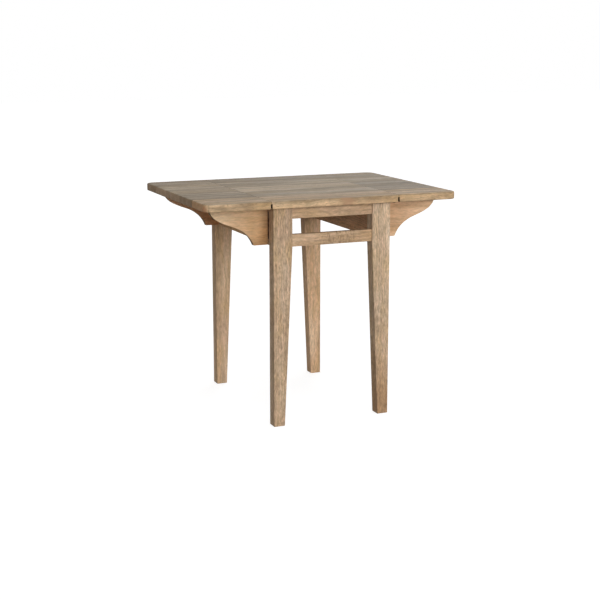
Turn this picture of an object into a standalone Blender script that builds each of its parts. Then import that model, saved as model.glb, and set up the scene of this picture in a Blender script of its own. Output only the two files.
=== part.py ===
"""Drop-leaf dining table: a fixed centre top on four tapered legs, two hinged leaves and four swing brackets.

Metres, +Z up. The floor is z = 0, X runs across the leaves, and the front of the table faces -Y.
"""

import math

import bmesh
import bpy
from mathutils import Matrix, Vector

# Table top
HEIGHT = 0.760            # floor to the top surface
TOP_THICK = 0.025         # thickness of the centre top and of each leaf
TOP_DEPTH = 0.668         # front edge to rear edge
CENTRE_WIDTH = 0.455      # between the middles of the two leaf joints
LEAF_WIDTH = 0.2226       # from a leaf's joint edge to its outer end
LEAF_JOINT = 0.001        # open joint between the centre top and a leaf, at its lip
JOINT_LIP = 0.008         # height of the close lip at the top surface
JOINT_SLOT = 0.006        # joint's width below the lip, over the hinge knuckles
CORNER_R = 0.030          # rounding of a leaf's outer corners, in plan
TOP_ARRIS = 0.0020        # rounding of the top's edges

# Leg frame
SIDE_OVERHANG = 0.0170    # centre top past the legs, at the sides
END_OVERHANG = 0.028      # top past the legs, at front and rear
LEG_WIDTH = 0.0665        # along X, above the taper
LEG_FOOT_WIDTH = 0.0385   # along X, at the floor
LEG_THICK = 0.040         # along Y
APRON_DEPTH = 0.1302      # height of a side apron
APRON_THICK = 0.020
APRON_INSET = 0.008       # apron face behind the outer face of the legs
TOP_RAIL_HEIGHT = 0.0386
LOWER_RAIL_HEIGHT = 0.040
RAIL_THICK = 0.020
RAIL_SETBACK = 0.003      # rail face behind the end face of the legs
TENON_LENGTH = 0.020
TENON_THICK = 0.010
TENON_SHOULDER = 0.006    # rail or apron above and below its tenon
CORNER_BLOCK = 0.036      # leg of a corner block's triangle
CORNER_BLOCK_HEIGHT = 0.100
CLEAT_LENGTH = 0.090
CLEAT_SIDE = 0.024
CLEAT_SPACING = 0.240     # between the middles of the two cleats on an apron
WOOD_ARRIS = 0.0015       # eased edges of the frame pieces

# Swing brackets
BRACKET_LENGTH = 0.200    # from the inner end to the tip
BRACKET_RISE = 0.0030     # bracket's bottom edge above the apron's
BRACKET_THICK = 0.019
BRACKET_FOOT = 0.0485     # straight bottom edge next to the apron
BRACKET_FROM_LEG = 0.017  # clear apron between a leg and its bracket
BRACKET_STANDOFF = 0.006  # bracket's inner end off the apron face
BRACKET_UNDER_LEAF = 0.0005
OGEE_WAIST_OUT = 0.1230   # where the curve turns, from the inner end
OGEE_WAIST_DOWN = 0.0612  # and below the top edge
OGEE_WAIST_SLOPE = 0.35   # fall per run where the curve turns
OGEE_TIP_PULL = 0.0340    # how far the curve keeps straight down from the tip
OGEE_BELLY_PULL = 0.0330  # how far it keeps the waist's slope outwards
OGEE_COVE_PULL = 0.0390   # and inwards
OGEE_HEEL_OUT = 0.0112    # steep end of the cove above the straight bottom edge
OGEE_HEEL_UP = 0.0300

# Hinges
PLATE_THICK = 0.0015
KNUCKLE_R = 0.0030
PIN_R = 0.0013
BRACKET_HINGE_HEIGHT = 0.090
BRACKET_PLATE_LONG = 0.030   # plate on the bracket, from the pin
BRACKET_PLATE_PAST = 0.013   # plate on the apron, past the bracket's face
LEAF_HINGE_LENGTH = 0.050
LEAF_HINGE_INSET = 0.030     # from the top's end to the hinge
LEAF_PLATE_LONG = 0.045      # plate under the leaf, from the pin
LEAF_PLATE_EDGE = 0.003      # fixed plate's edge off the leg

FIT = 0.0003              # gap between pieces that meet
PIN_HEAD = 0.0015         # pin past its knuckles at each end

# Colours, and how finely curves are divided
TOP_COLOUR = (0.33, 0.27, 0.21)
LEG_COLOUR = (0.42, 0.31, 0.21)
APRON_COLOUR = (0.40, 0.28, 0.18)
RAIL_COLOUR = (0.44, 0.31, 0.20)
BLOCK_COLOUR = (0.38, 0.27, 0.18)
BRACKET_COLOUR = (0.46, 0.33, 0.21)
STEEL_COLOUR = (0.20, 0.17, 0.14)
WOOD_ROUGHNESS = 0.63
STEEL_ROUGHNESS = 0.45
ROUND_SIDES = 20
CORNER_STEPS = 8
OGEE_STEPS = 9
ARRIS_STEPS = 2
EDGE_ANGLE = math.radians(40)   # sharper edges than this are eased or shaded sharp
SAME = 1e-6                     # points closer than this are one point

# Levels and lines that the pieces share
UNDER = HEIGHT - TOP_THICK                   # underside of the top
FRAME_X = CENTRE_WIDTH / 2 - SIDE_OVERHANG   # outer face of the legs
FRAME_Y = TOP_DEPTH / 2 - END_OVERHANG       # end face of the legs
APRON_X = FRAME_X - APRON_INSET              # outer face of the aprons
FRAME_TOP = UNDER - FIT
APRON_BOTTOM = FRAME_TOP - APRON_DEPTH
LEG_BACK = FRAME_Y - LEG_THICK               # inner Y face of the legs
LEG_INNER = FRAME_X - LEG_WIDTH              # inner X face of the legs
RAIL_Y = FRAME_Y - RAIL_SETBACK - RAIL_THICK / 2
APRON_MID = APRON_X - APRON_THICK / 2
APRON_INNER = APRON_X - APRON_THICK
PIN_OFF = KNUCKLE_R + FIT                    # pin axis off the faces it serves
LEAF_PIN_X = CENTRE_WIDTH / 2
LEAF_PIN_Z = UNDER - PIN_OFF
BRACKET_FACE = LEG_BACK - BRACKET_FROM_LEG   # bracket face towards the leg
BRACKET_PIN_X = APRON_X + PIN_OFF
BRACKET_PIN_Y = BRACKET_FACE - BRACKET_THICK - PIN_OFF
BRACKET_TOP = UNDER - BRACKET_UNDER_LEAF
BRACKET_HEIGHT = BRACKET_TOP - APRON_BOTTOM - BRACKET_RISE
BRACKET_MID_Z = BRACKET_TOP - BRACKET_HEIGHT / 2

SIDES = (("left", -1), ("right", 1))
ENDS = (("front", -1), ("rear", 1))


def clear_scene():
    for obj in list(bpy.data.objects):
        bpy.data.objects.remove(obj, do_unlink=True)


def make_collection(name):
    group = bpy.data.collections.new(name)
    bpy.context.scene.collection.children.link(group)
    return group


def material(name, colour, roughness, metallic=0.0):
    mat = bpy.data.materials.new(name)
    mat.use_nodes = True
    bsdf = mat.node_tree.nodes["Principled BSDF"]
    bsdf.inputs["Base Color"].default_value = (*colour, 1.0)
    bsdf.inputs["Roughness"].default_value = roughness
    bsdf.inputs["Metallic"].default_value = metallic
    mat.diffuse_color = (*colour, 1.0)
    return mat


def empty(name, location, group):
    axis = bpy.data.objects.new(name, None)
    axis.location = location
    group.objects.link(axis)
    return axis


def box_mesh(bm, low, high):
    """Add a box between two corners to a bmesh and return its vertices."""
    low, high = Vector(low), Vector(high)
    size = high - low
    place = Matrix.Translation((low + high) / 2) @ Matrix.Diagonal((*size, 1.0))
    return bmesh.ops.create_cube(bm, size=1.0, matrix=place)["verts"]


def rod_mesh(bm, low, high, radius):
    """Add a capped cylinder between two points of one axis to a bmesh."""
    low, high = Vector(low), Vector(high)
    along = high - low
    turn = along.to_track_quat("Z", "Y").to_matrix().to_4x4()
    place = Matrix.Translation((low + high) / 2) @ turn
    bmesh.ops.create_cone(
        bm, cap_ends=True, segments=ROUND_SIDES, radius1=radius, radius2=radius,
        depth=along.length, matrix=place,
    )


def new_object(name, bm, group, mat=None):
    mesh = bpy.data.meshes.new(name)
    bm.to_mesh(mesh)
    bm.free()
    obj = bpy.data.objects.new(name, mesh)
    group.objects.link(obj)
    if mat is not None:
        mesh.materials.append(mat)
    return obj


def seat(obj, parent):
    """Hang an object built in world coordinates on an axis empty, with its origin on that axis."""
    obj.data.transform(Matrix.Translation(-parent.location))
    obj.parent = parent
    return obj


def ease(obj, width, segments=ARRIS_STEPS):
    mod = obj.modifiers.new("Arris", "BEVEL")
    mod.width = width
    mod.segments = segments
    mod.limit_method = "ANGLE"
    mod.angle_limit = EDGE_ANGLE
    return mod


def boolean(obj, other, operation):
    mod = obj.modifiers.new(operation.title(), "BOOLEAN")
    mod.operation = operation
    mod.solver = "EXACT"
    mod.object = other
    return mod


def tool(name, bm, cutters):
    """A hidden shape that is joined to or cut from a piece."""
    obj = new_object(name, bm, cutters)
    obj.hide_render = True
    obj.display_type = "WIRE"
    return obj


def applied(obj, tools):
    """Bake an object's modifiers into its mesh and drop the hidden shapes that they used."""
    bpy.context.view_layer.update()
    graph = bpy.context.evaluated_depsgraph_get()
    baked = bpy.data.meshes.new_from_object(obj.evaluated_get(graph))
    old = obj.data
    obj.modifiers.clear()
    obj.data = baked
    baked.name = obj.name
    bpy.data.meshes.remove(old)
    for other in tools:
        bpy.data.objects.remove(other, do_unlink=True)
    return obj


def smooth(obj):
    obj.data.shade_smooth()
    obj.data.set_sharp_from_angle(angle=EDGE_ANGLE)


def panel(name, low, high, group, cutters, mat, joints, round_side=0):
    """A section of the top with slots at its leaf joints. round_side is the X side with rounded corners."""
    bm = bmesh.new()
    box_mesh(bm, low, high)
    if round_side:
        end = high[0] if round_side > 0 else low[0]
        upright = [
            e for e in bm.edges
            if all(abs(v.co.x - end) < SAME for v in e.verts)
            and abs(e.verts[0].co.z - e.verts[1].co.z) > SAME
        ]
        bmesh.ops.bevel(
            bm, geom=upright, offset=CORNER_R, segments=CORNER_STEPS, profile=0.5,
            affect="EDGES", material=-1,
        )
    obj = new_object(name, bm, group, mat)
    ease(obj, TOP_ARRIS)
    slots = bmesh.new()
    for x in joints:
        box_mesh(
            slots,
            (x - JOINT_SLOT / 2, -TOP_DEPTH, UNDER - TOP_THICK),
            (x + JOINT_SLOT / 2, TOP_DEPTH, HEIGHT - JOINT_LIP),
        )
    cutter = tool(name + "_joint_slots", slots, cutters)
    boolean(obj, cutter, "DIFFERENCE")
    return applied(obj, [cutter])


def tenon_spans():
    """Heights of the tenons of the top rail, the lower rail and the apron."""
    spans = []
    for low, high in (
        (FRAME_TOP - TOP_RAIL_HEIGHT, FRAME_TOP),
        (APRON_BOTTOM, APRON_BOTTOM + LOWER_RAIL_HEIGHT),
        (APRON_BOTTOM, FRAME_TOP),
    ):
        spans.append((low + TENON_SHOULDER, high - TENON_SHOULDER))
    return spans


def box_between(bm, sx, sy, low, high):
    """A box given for the right rear quarter, moved to the quarter of signs sx and sy."""
    xs = sorted((sx * low[0], sx * high[0]))
    ys = sorted((sy * low[1], sy * high[1]))
    return box_mesh(bm, (xs[0], ys[0], low[2]), (xs[1], ys[1], high[2]))


def leg(name, sx, sy, group, cutters, mat):
    bm = bmesh.new()
    box_between(bm, sx, sy, (LEG_INNER, LEG_BACK, 0.0), (FRAME_X, FRAME_Y, FRAME_TOP))
    bmesh.ops.bisect_plane(
        bm, geom=bm.verts[:] + bm.edges[:] + bm.faces[:],
        plane_co=(0.0, 0.0, APRON_BOTTOM), plane_no=(0.0, 0.0, 1.0),
    )
    foot = [v for v in bm.verts if v.co.z < SAME and abs(abs(v.co.x) - LEG_INNER) < SAME]
    bmesh.ops.translate(bm, verts=foot, vec=(sx * (LEG_WIDTH - LEG_FOOT_WIDTH), 0.0, 0.0))
    obj = new_object(name, bm, group, mat)
    ease(obj, WOOD_ARRIS)
    mortises = bmesh.new()
    top_rail, lower_rail, apron = tenon_spans()
    half = TENON_THICK / 2 + FIT
    reach = TENON_LENGTH + FIT
    for low, high in (top_rail, lower_rail):
        box_between(
            mortises, sx, sy,
            (LEG_INNER - reach, RAIL_Y - half, low - FIT),
            (LEG_INNER + reach, RAIL_Y + half, high + FIT),
        )
    low, high = apron
    box_between(
        mortises, sx, sy,
        (APRON_MID - half, LEG_BACK - reach, low - FIT),
        (APRON_MID + half, LEG_BACK + reach, high + FIT),
    )
    cutter = tool(name + "_mortises", mortises, cutters)
    boolean(obj, cutter, "DIFFERENCE")
    return applied(obj, [cutter])


def rail(name, sy, low, high, group, cutters, mat):
    """An end rail with a tenon at each end."""
    bm = bmesh.new()
    end = LEG_INNER - FIT
    y_low = sy * RAIL_Y - RAIL_THICK / 2
    y_high = sy * RAIL_Y + RAIL_THICK / 2
    box_mesh(bm, (-end, y_low, low), (end, y_high, high))
    obj = new_object(name, bm, group, mat)
    ease(obj, WOOD_ARRIS)
    joint = bmesh.new()
    reach = LEG_INNER + TENON_LENGTH
    box_mesh(
        joint,
        (-reach, sy * RAIL_Y - TENON_THICK / 2, low + TENON_SHOULDER),
        (reach, sy * RAIL_Y + TENON_THICK / 2, high - TENON_SHOULDER),
    )
    core = tool(name + "_tenons", joint, cutters)
    boolean(obj, core, "UNION")
    return applied(obj, [core])


def apron(name, sx, group, cutters, mat):
    """A side apron with a tenon at each end."""
    bm = bmesh.new()
    end = LEG_BACK - FIT
    x_low = sx * APRON_MID - APRON_THICK / 2
    x_high = sx * APRON_MID + APRON_THICK / 2
    box_mesh(bm, (x_low, -end, APRON_BOTTOM), (x_high, end, FRAME_TOP))
    obj = new_object(name, bm, group, mat)
    ease(obj, WOOD_ARRIS)
    joint = bmesh.new()
    reach = LEG_BACK + TENON_LENGTH
    box_mesh(
        joint,
        (sx * APRON_MID - TENON_THICK / 2, -reach, APRON_BOTTOM + TENON_SHOULDER),
        (sx * APRON_MID + TENON_THICK / 2, reach, FRAME_TOP - TENON_SHOULDER),
    )
    core = tool(name + "_tenons", joint, cutters)
    boolean(obj, core, "UNION")
    return applied(obj, [core])


def outline_object(name, points, thick, group, mat):
    """A flat board from an outline in the XZ plane, thickened evenly along Y about y = 0."""
    curve = bpy.data.curves.new(name, "CURVE")
    curve.dimensions = "2D"
    curve.fill_mode = "BOTH"
    curve.extrude = thick / 2
    spline = curve.splines.new("POLY")
    spline.points.add(len(points) - 1)
    for point, (x, z) in zip(spline.points, points):
        point.co = (x, z, 0.0, 1.0)
    spline.use_cyclic_u = True
    source = bpy.data.objects.new(name + "_outline", curve)
    group.objects.link(source)
    bpy.context.view_layer.update()
    graph = bpy.context.evaluated_depsgraph_get()
    mesh = bpy.data.meshes.new_from_object(source.evaluated_get(graph))
    bpy.data.objects.remove(source, do_unlink=True)
    bpy.data.curves.remove(curve)
    bm = bmesh.new()
    bm.from_mesh(mesh)
    bpy.data.meshes.remove(mesh)
    bmesh.ops.remove_doubles(bm, verts=bm.verts, dist=SAME)
    bmesh.ops.rotate(bm, verts=bm.verts, matrix=Matrix.Rotation(math.pi / 2, 3, "X"))
    bmesh.ops.dissolve_limit(bm, angle_limit=1e-4, verts=bm.verts, edges=bm.edges)
    bmesh.ops.recalc_face_normals(bm, faces=bm.faces)
    return new_object(name, bm, group, mat)


def bezier(p0, p1, p2, p3):
    """Points along a cubic curve, without its first end."""
    points = []
    for i in range(1, OGEE_STEPS + 1):
        t = i / OGEE_STEPS
        a = (1 - t) ** 3
        b = 3 * t * (1 - t) ** 2
        c = 3 * t * t * (1 - t)
        d = t ** 3
        points.append((
            a * p0[0] + b * p1[0] + c * p2[0] + d * p3[0],
            a * p0[1] + b * p1[1] + c * p2[1] + d * p3[1],
        ))
    return points


def ogee_outline():
    """Bracket outline: out from the inner end and down from the top edge."""
    tip = (BRACKET_LENGTH, 0.0)
    waist = (OGEE_WAIST_OUT, -OGEE_WAIST_DOWN)
    heel = (BRACKET_FOOT, -BRACKET_HEIGHT)
    belly = bezier(
        tip, (tip[0], tip[1] - OGEE_TIP_PULL),
        (waist[0] + OGEE_BELLY_PULL, waist[1] + OGEE_BELLY_PULL * OGEE_WAIST_SLOPE), waist,
    )
    cove = bezier(
        waist, (waist[0] - OGEE_COVE_PULL, waist[1] - OGEE_COVE_PULL * OGEE_WAIST_SLOPE),
        (heel[0] + OGEE_HEEL_OUT, heel[1] + OGEE_HEEL_UP), heel,
    )
    return [(0.0, 0.0), tip] + belly + cove + [(0.0, -BRACKET_HEIGHT)]


def bracket(name, sx, sy, parent, group, mat):
    """Ogee bracket in its swung-out place, square to the apron."""
    points = [(sx * x, z) for x, z in ogee_outline()]
    obj = outline_object(name, points, BRACKET_THICK, group, mat)
    inner = APRON_X + BRACKET_STANDOFF
    middle = BRACKET_FACE - BRACKET_THICK / 2
    obj.data.transform(Matrix.Translation((sx * inner, sy * middle, BRACKET_TOP)))
    ease(obj, WOOD_ARRIS, 1)
    return seat(obj, parent)


def thirds(low, high):
    """Three knuckles between two ends, with running gaps."""
    step = (high - low) / 3
    return [
        (low, low + step - FIT / 2),
        (low + step + FIT / 2, low + 2 * step - FIT / 2),
        (low + 2 * step + FIT / 2, high),
    ]


def hinge_half(name, plate, tabs, rods, bore, group, cutters, mat):
    """A plate with its knuckles: plate and tabs are boxes, rods are knuckles, bore is the pin's hole."""
    bm = bmesh.new()
    box_mesh(bm, *plate)
    obj = new_object(name, bm, group, mat)
    tools = []
    for i, tab in enumerate(tabs):
        part = bmesh.new()
        box_mesh(part, *tab)
        tools.append(tool(f"{name}_tab_{i}", part, cutters))
        boolean(obj, tools[-1], "UNION")
    for i, (low, high) in enumerate(rods):
        part = bmesh.new()
        rod_mesh(part, low, high, KNUCKLE_R)
        tools.append(tool(f"{name}_knuckle_{i}", part, cutters))
        boolean(obj, tools[-1], "UNION")
    part = bmesh.new()
    rod_mesh(part, bore[0], bore[1], PIN_R + FIT)
    tools.append(tool(f"{name}_bore", part, cutters))
    boolean(obj, tools[-1], "DIFFERENCE")
    applied(obj, tools)
    smooth(obj)
    return obj


def pin(name, low, high, group, mat):
    bm = bmesh.new()
    rod_mesh(bm, low, high, PIN_R)
    obj = new_object(name, bm, group, mat)
    smooth(obj)
    return obj


def corners(sx, sy, centre, low, high):
    """Corners of a box given from an axis by outward X and inward Y distances."""
    xs = sorted((centre[0] + sx * low[0], centre[0] + sx * high[0]))
    ys = sorted((centre[1] - sy * low[1], centre[1] - sy * high[1]))
    return (xs[0], ys[0], low[2]), (xs[1], ys[1], high[2])


def bracket_hinge(name, sx, sy, axis, group, cutters, mat):
    """Upright butt hinge: one plate on the apron, one on the bracket's inner face."""
    x, y = sx * BRACKET_PIN_X, sy * BRACKET_PIN_Y
    low = BRACKET_MID_Z - BRACKET_HINGE_HEIGHT / 2
    high = BRACKET_MID_Z + BRACKET_HINGE_HEIGHT / 2
    spans = thirds(low, high)
    near = KNUCKLE_R + FIT
    face = -PIN_OFF + FIT
    back = face + PLATE_THICK
    reach = PIN_OFF + BRACKET_THICK + BRACKET_PLATE_PAST
    bore = ((x, y, low - PIN_HEAD), (x, y, high + PIN_HEAD))
    fixed = hinge_half(
        name + "_apron_plate",
        corners(sx, sy, (x, y), (face, -reach, low), (back, -near, high)),
        [
            corners(sx, sy, (x, y), (face, -near - FIT, a), (back, 0.0, b))
            for a, b in (spans[0], spans[2])
        ],
        [((x, y, a), (x, y, b)) for a, b in (spans[0], spans[2])],
        bore, group, cutters, mat,
    )
    a, b = spans[1]
    moving = hinge_half(
        name + "_bracket_plate",
        corners(sx, sy, (x, y), (near, face, low), (BRACKET_PLATE_LONG, back, high)),
        [corners(sx, sy, (x, y), (0.0, face, a), (near + FIT, back, b))],
        [((x, y, a), (x, y, b))],
        bore, group, cutters, mat,
    )
    seat(moving, axis)
    pin(name + "_pin", (x, y, low - PIN_HEAD), (x, y, high + PIN_HEAD), group, mat)
    return fixed, moving


def leaf_hinge(name, sx, sy, axis, group, cutters, mat):
    """Hinge under a leaf joint: a narrow plate under the centre top, a long one under the leaf."""
    x, z = sx * LEAF_PIN_X, LEAF_PIN_Z
    outer = TOP_DEPTH / 2 - LEAF_HINGE_INSET
    ends = sorted((sy * outer, sy * (outer - LEAF_HINGE_LENGTH)))
    low, high = ends
    spans = thirds(low, high)
    near = KNUCKLE_R + FIT
    roof = UNDER - FIT
    floor = roof - PLATE_THICK
    wide = SIDE_OVERHANG - LEAF_PLATE_EDGE

    def slab(x_from, x_to, y_from, y_to):
        xs = sorted((x + sx * x_from, x + sx * x_to))
        return (xs[0], y_from, floor), (xs[1], y_to, roof)

    bore = ((x, low - PIN_HEAD, z), (x, high + PIN_HEAD, z))
    fixed = hinge_half(
        name + "_top_plate",
        slab(-wide, -near, low, high),
        [slab(-near - FIT, 0.0, a, b) for a, b in (spans[0], spans[2])],
        [((x, a, z), (x, b, z)) for a, b in (spans[0], spans[2])],
        bore, group, cutters, mat,
    )
    a, b = spans[1]
    moving = hinge_half(
        name + "_leaf_plate",
        slab(near, LEAF_PLATE_LONG, low, high),
        [slab(0.0, near + FIT, a, b)],
        [((x, a, z), (x, b, z))],
        bore, group, cutters, mat,
    )
    seat(moving, axis)
    pin(name + "_pin", (x, low - PIN_HEAD, z), (x, high + PIN_HEAD, z), group, mat)
    return fixed, moving


def corner_block(name, sx, sy, group, mat):
    """Three-sided block in the corner between a leg and an apron."""
    bm = bmesh.new()
    x0 = APRON_INNER - FIT
    y0 = LEG_BACK - FIT
    box_between(
        bm, sx, sy,
        (x0 - CORNER_BLOCK, y0 - CORNER_BLOCK, FRAME_TOP - CORNER_BLOCK_HEIGHT),
        (x0, y0, FRAME_TOP),
    )
    bmesh.ops.bisect_plane(
        bm, geom=bm.verts[:] + bm.edges[:] + bm.faces[:],
        plane_co=(sx * x0, sy * (y0 - CORNER_BLOCK), 0.0), plane_no=(-sx, -sy, 0.0),
        clear_outer=True,
    )
    rim = [e for e in bm.edges if e.is_boundary]
    bmesh.ops.holes_fill(bm, edges=rim)
    bmesh.ops.recalc_face_normals(bm, faces=bm.faces)
    return new_object(name, bm, group, mat)


def cleat(name, sx, sy, group, mat):
    """Batten that holds the centre top to an apron."""
    bm = bmesh.new()
    x0 = APRON_INNER - FIT
    middle = CLEAT_SPACING / 2
    box_between(
        bm, sx, sy,
        (x0 - CLEAT_SIDE, middle - CLEAT_LENGTH / 2, FRAME_TOP - CLEAT_SIDE),
        (x0, middle + CLEAT_LENGTH / 2, FRAME_TOP),
    )
    obj = new_object(name, bm, group, mat)
    ease(obj, WOOD_ARRIS, 1)
    return obj


def main():
    clear_scene()
    table = make_collection("drop_leaf_table")
    cutters = make_collection("cutters")

    half = TOP_DEPTH / 2
    centre_x = CENTRE_WIDTH / 2 - LEAF_JOINT / 2
    leaf_in = CENTRE_WIDTH / 2 + LEAF_JOINT / 2
    leaf_out = leaf_in + LEAF_WIDTH
    top_wood = material("centre_top_wood", TOP_COLOUR, WOOD_ROUGHNESS)
    panel(
        "centre_top", (-centre_x, -half, UNDER), (centre_x, half, HEIGHT), table, cutters,
        top_wood, (-LEAF_PIN_X, LEAF_PIN_X),
    )

    for side, sx in SIDES:
        axis = empty(f"{side}_leaf_axis", (sx * LEAF_PIN_X, 0.0, LEAF_PIN_Z), table)
        xs = sorted((sx * leaf_in, sx * leaf_out))
        leaf = panel(
            f"{side}_leaf", (xs[0], -half, UNDER), (xs[1], half, HEIGHT), table, cutters,
            material(f"{side}_leaf_wood", TOP_COLOUR, WOOD_ROUGHNESS), (sx * LEAF_PIN_X,), sx,
        )
        seat(leaf, axis)
        for end, sy in ENDS:
            steel = material(f"{end}_{side}_leaf_hinge_steel", STEEL_COLOUR, STEEL_ROUGHNESS, 1.0)
            leaf_hinge(f"{end}_{side}_leaf_hinge", sx, sy, axis, table, cutters, steel)

    for side, sx in SIDES:
        apron(
            f"{side}_apron", sx, table, cutters,
            material(f"{side}_apron_wood", APRON_COLOUR, WOOD_ROUGHNESS),
        )
        for end, sy in ENDS:
            corner = f"{end}_{side}"
            leg(
                f"{corner}_leg", sx, sy, table, cutters,
                material(f"{corner}_leg_wood", LEG_COLOUR, WOOD_ROUGHNESS),
            )
            block = material(f"{corner}_block_wood", BLOCK_COLOUR, WOOD_ROUGHNESS)
            corner_block(f"{corner}_corner_block", sx, sy, table, block)
            cleat(f"{corner}_top_cleat", sx, sy, table, block)
            axis = empty(
                f"{corner}_bracket_axis",
                (sx * BRACKET_PIN_X, sy * BRACKET_PIN_Y, BRACKET_MID_Z), table,
            )
            bracket(
                f"{corner}_bracket", sx, sy, axis, table,
                material(f"{corner}_bracket_wood", BRACKET_COLOUR, WOOD_ROUGHNESS),
            )
            bracket_hinge(
                f"{corner}_bracket_hinge", sx, sy, axis, table, cutters,
                material(f"{corner}_bracket_hinge_steel", STEEL_COLOUR, STEEL_ROUGHNESS, 1.0),
            )

    for end, sy in ENDS:
        rail(
            f"{end}_top_rail", sy, FRAME_TOP - TOP_RAIL_HEIGHT, FRAME_TOP, table, cutters,
            material(f"{end}_top_rail_wood", RAIL_COLOUR, WOOD_ROUGHNESS),
        )
        rail(
            f"{end}_lower_rail", sy, APRON_BOTTOM, APRON_BOTTOM + LOWER_RAIL_HEIGHT, table, cutters,
            material(f"{end}_lower_rail_wood", RAIL_COLOUR, WOOD_ROUGHNESS),
        )


main()
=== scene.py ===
"""Looks of a drop-leaf dining table in oiled mango wood, laid out as a Blender add-on.

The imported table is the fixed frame. The three sections of the top are rebuilt as glued-up boards,
the hinges, blocks and cleats get their screws, and every other part gets its wood or its steel.
Metres, +Z up, front of the table towards -Y.
"""

import math

import bmesh
import bpy
from bpy.props import FloatProperty, FloatVectorProperty, PointerProperty
from mathutils import Euler, Matrix, Vector


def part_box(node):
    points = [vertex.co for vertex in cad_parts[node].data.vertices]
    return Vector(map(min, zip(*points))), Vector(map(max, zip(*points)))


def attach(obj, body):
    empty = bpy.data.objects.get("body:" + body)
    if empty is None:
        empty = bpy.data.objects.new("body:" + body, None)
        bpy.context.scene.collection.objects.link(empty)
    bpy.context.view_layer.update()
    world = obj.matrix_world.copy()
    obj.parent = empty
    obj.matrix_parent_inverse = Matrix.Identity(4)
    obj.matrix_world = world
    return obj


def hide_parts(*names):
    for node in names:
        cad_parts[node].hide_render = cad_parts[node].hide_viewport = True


bl_info = {
    "name": "Drop-leaf table in mango wood",
    "version": (1, 0, 0),
    "blender": (4, 5, 0),
    "location": "3D View > Sidebar > Table",
    "description": "Dresses the packed parts of a drop-leaf dining table in wood and steel",
    "category": "Object",
}

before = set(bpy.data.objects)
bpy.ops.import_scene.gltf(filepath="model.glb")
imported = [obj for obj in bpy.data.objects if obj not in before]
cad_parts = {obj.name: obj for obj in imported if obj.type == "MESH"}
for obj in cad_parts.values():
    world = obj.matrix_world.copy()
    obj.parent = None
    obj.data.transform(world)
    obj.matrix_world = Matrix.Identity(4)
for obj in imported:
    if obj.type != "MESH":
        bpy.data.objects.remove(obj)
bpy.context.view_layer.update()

# Two places closer than SAME are one place, and NEAR allows for the rounding of a few cuts
SAME = 1e-6
NEAR = SAME * 10

# Each corner's name, and its side along X and along Y
CORNERS = [
    (f"{end}_{side}", sx, sy)
    for end, sy in (("front", -1), ("rear", 1))
    for side, sx in (("left", -1), ("right", 1))
]

# Turns that lay a piece's grain along X for its wood pattern
GRAIN_TURN = {
    "X": (0.0, 0.0, 0.0),
    "Y": (0.0, 0.0, -math.pi / 2),
    "Z": (0.0, math.pi / 2, 0.0),
}

# Length along the grain and width across it of the wood's patterns, in metres
GOLD_PATCH = (0.150, 0.042)
ROSE_PATCH = (0.090, 0.032)
HEART_EDGE = (0.060, 0.020)
FIBRE = (0.035, 0.0036)
FLECK = (0.017, 0.0044)
MOTTLE = (0.045, 0.016)
LONG_STREAK = (0.420, 0.024)
KNOT_EDGE = (0.020, 0.010)
GLUE_BREAK = (0.110, 0.030)

# Values between which a pattern usually lies, and between which a stain fades in
USUAL = (0.28, 0.72)
PATCH_FADE = (0.44, 0.66)
VESSEL_FADE = (0.58, 0.70)
CURL_FADE = (0.50, 0.64)
GLUE_FADE = (0.42, 0.58)

# How far the heartwood's edge strays, and the size of a cloud in the browning of steel, in metres
HEART_STRAY = 0.06
STEEL_CLOUD = 0.00625

# Each board comes from another place in the tree, and each second one is turned over: steps of the
# grain from section to section, from board to board and away from the tree's middle, in metres
SECTION_STEP = 1.9
BOARD_STEP = (0.73, 0.11)
PITH_STEP = (0.021, 0.045)

# The front board's share of the other boards' grey, and the painted shade inside a joint's slot
FRONT_GREY = 0.4
JOINT_PAINTED_SHADE = 0.04

# Thickness of a hinge plate, and how far its screws lie from its edges, in metres
PLATE = 0.0015
BRACKET_PLATE_SCREWS = (0.007, 0.015, 0.007)
TOP_PLATE_SCREW = 0.0052
LEAF_PLATE_SCREWS = (0.010, 0.028)
PLATE_END_SCREW = 0.012

# Half the floor's width, and how far it lies below the feet, in metres
FLOOR_REACH = 20.0
FLOOR_DROP = 0.0004


def linear(code):
    """Scene-linear colour of an sRGB hex value."""
    parts = [int(code[i:i + 2], 16) / 255 for i in (1, 3, 5)]
    return tuple(p / 12.92 if p <= 0.04045 else ((p + 0.055) / 1.055) ** 2.4 for p in parts)


def colour(name, description, code):
    """A colour setting from an sRGB hex value."""
    return FloatVectorProperty(
        name=name, description=description, subtype="COLOR", size=3, min=0.0, max=1.0,
        default=linear(code),
    )


def length(name, description, default):
    """A length setting in metres."""
    return FloatProperty(
        name=name, description=description, default=default, min=0.0, precision=4, unit="LENGTH",
    )


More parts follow.
